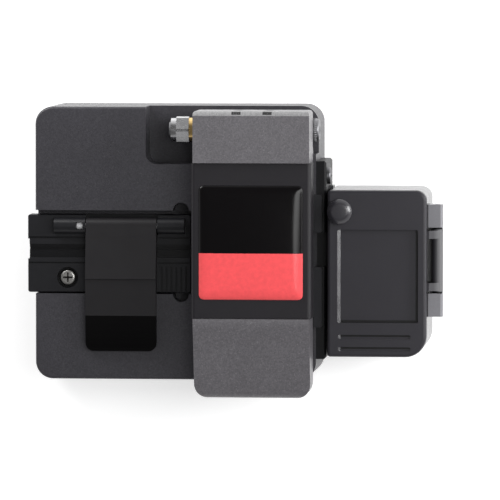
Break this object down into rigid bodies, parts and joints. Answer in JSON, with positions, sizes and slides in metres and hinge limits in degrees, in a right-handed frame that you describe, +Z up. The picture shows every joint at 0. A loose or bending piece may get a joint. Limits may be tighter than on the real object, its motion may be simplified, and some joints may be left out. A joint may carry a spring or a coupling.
{
  "type": "fibre cleaver",
  "caption": "Bench cleaver for optical fibre with a hinged cover, a fibre fixture with a flap, a sliding blade wheel and a slide-off scrap collector.",
  "frame": {"origin": "middle of the footprint's box, on the bench under the feet", "axes": "+X from the fibre fixture to the scrap collector, +Y from the cover's thumb rest to its hinge, +Z up"},
  "size_m": [0.1094, 0.0758, 0.0455],
  "materials": {
    "charcoal_paint": "satin powder coat",
    "cover_paint": "fine sparkle texture coat",
    "saddle_black": "satin",
    "label_gloss": "domed gel, black with a red band",
    "anodised_black": "black anodised",
    "flap_black": "satin",
    "tab_black": "semi gloss",
    "strip_grey": "satin",
    "bin_grey": "satin",
    "lid_charcoal": "fine satin",
    "push_black": "satin",
    "rubber_black": "matt",
    "steel_screws": "zinc plated",
    "black_screws": "black oxide",
    "steel_pins": "ground",
    "steel_ground": "ground",
    "carbide": "fine ground",
    "plated": "nickel plated",
    "brass": "turned",
    "block_metal": "milled"
  },
  "bodies": {
    "base": {"base_casting": "charcoal_paint", "bottom_plate": "anodised_black", "bottom_screws": "steel_screws", "rubber_feet": "rubber_black", "rim_keeper": "plated", "rim_bumpers": "rubber_black", "fixture_plate": "anodised_black", "fixture_screws": "steel_screws", "fixture_keeper": "plated", "flap_pin": "steel_pins", "slide_rail": "steel_ground", "rail_screws": "black_screws", "lower_clamps": "block_metal", "lower_pads": "rubber_black", "clamp_screws": "steel_screws", "hinge_bushes": "brass", "collector_bracket": "anodised_black", "bracket_screws": "steel_screws", "rail_strip": "strip_grey"},
    "flap": {"flap": "flap_black", "flap_tab": "tab_black", "flap_pad": "rubber_black", "flap_magnet": "plated"},
    "carriage": {"carriage": "steel_ground", "carriage_caps": "push_black", "blade_holder": "block_metal", "holder_screws": "steel_screws", "blade_screw": "black_screws", "push_pad": "push_black", "push_screw": "steel_screws"},
    "blade": {"blade_wheel": "carbide"},
    "cover": {"cover_body": "cover_paint", "saddle": "saddle_black", "label": "label_gloss", "cover_magnet": "plated", "back_screws": "black_screws", "hinge_bolt": "plated", "hinge_spacer": "brass", "hinge_nut": "plated", "clamp_springs": "steel_pins", "anvil_spring": "steel_pins"},
    "clamp": {"upper_clamp": "block_metal", "upper_pads": "rubber_black", "clamp_posts": "steel_screws"},
    "anvil": {"anvil": "steel_ground", "anvil_nut": "steel_screws"},
    "collector": {"collector_housing": "bin_grey", "lid_pin": "steel_pins"},
    "lid": {"scrap_lid": "lid_charcoal", "button_spring": "steel_pins"},
    "button": {"lid_button": "lid_charcoal", "button_clip": "steel_screws"},
    "roller_low": {"roller_shaft_low": "steel_pins", "roller_sleeve_low": "rubber_black"},
    "roller_high": {"roller_shaft_high": "steel_pins", "roller_sleeve_high": "rubber_black"}
  },
  "joints": [
    {"name": "lever_hinge", "type": "hinge", "parent": "base", "child": "cover", "pos_m": [0.00547, 0.03177, 0.027], "axis": [-1, 0, 0], "range_deg": [0, 75]},
    {"name": "flap_hinge", "type": "hinge", "parent": "base", "child": "flap", "pos_m": [-0.0298, 0.00658, 0.0313], "axis": [-1, 0, 0], "range_deg": [0, 110]},
    {"name": "carriage_slide", "type": "slide", "parent": "base", "child": "carriage", "axis": [0, 1, 0], "range_m": [0, 0.026]},
    {"name": "blade_index", "type": "hinge", "parent": "carriage", "child": "blade", "pos_m": [-0.00065, -0.01362, 0.0218], "axis": [1, 0, 0], "continuous": true},
    {"name": "clamp_float", "type": "slide", "parent": "cover", "child": "clamp", "axis": [0, 0, 1], "range_m": [0, 0.0005], "stiffness_N_per_m": 600, "springref_m": -0.002, "deforming": ["clamp_springs"]},
    {"name": "anvil_float", "type": "slide", "parent": "cover", "child": "anvil", "axis": [0, 0, 1], "range_m": [0, 0.0006], "stiffness_N_per_m": 300, "springref_m": -0.002, "deforming": ["anvil_spring"]},
    {"name": "collector_slide", "type": "slide", "parent": "base", "child": "collector", "axis": [0, -1, 0], "range_m": [0, 0.046]},
    {"name": "scrap_lid_hinge", "type": "hinge", "parent": "collector", "child": "lid", "pos_m": [0.0532, -0.00217, 0.0294], "axis": [0, 1, 0], "range_deg": [0, 100]},
    {"name": "lid_button_press", "type": "slide", "parent": "lid", "child": "button", "axis": [0, 0, -1], "range_m": [0, 0.0015], "stiffness_N_per_m": 300, "springref_m": -0.002, "deforming": ["button_spring"]},
    {"name": "roller_lower_spin", "type": "hinge", "parent": "collector", "child": "roller_low", "pos_m": [0.0281, -0.00013, 0.02885], "axis": [0, 1, 0], "continuous": true},
    {"name": "roller_upper_spin", "type": "hinge", "parent": "lid", "child": "roller_high", "pos_m": [0.0281, -0.00013, 0.03115], "axis": [0, 1, 0], "continuous": true}
  ],
  "couplings": [
    {"joint": "roller_upper_spin", "follows": "roller_lower_spin", "ratio": -1}
  ]
}
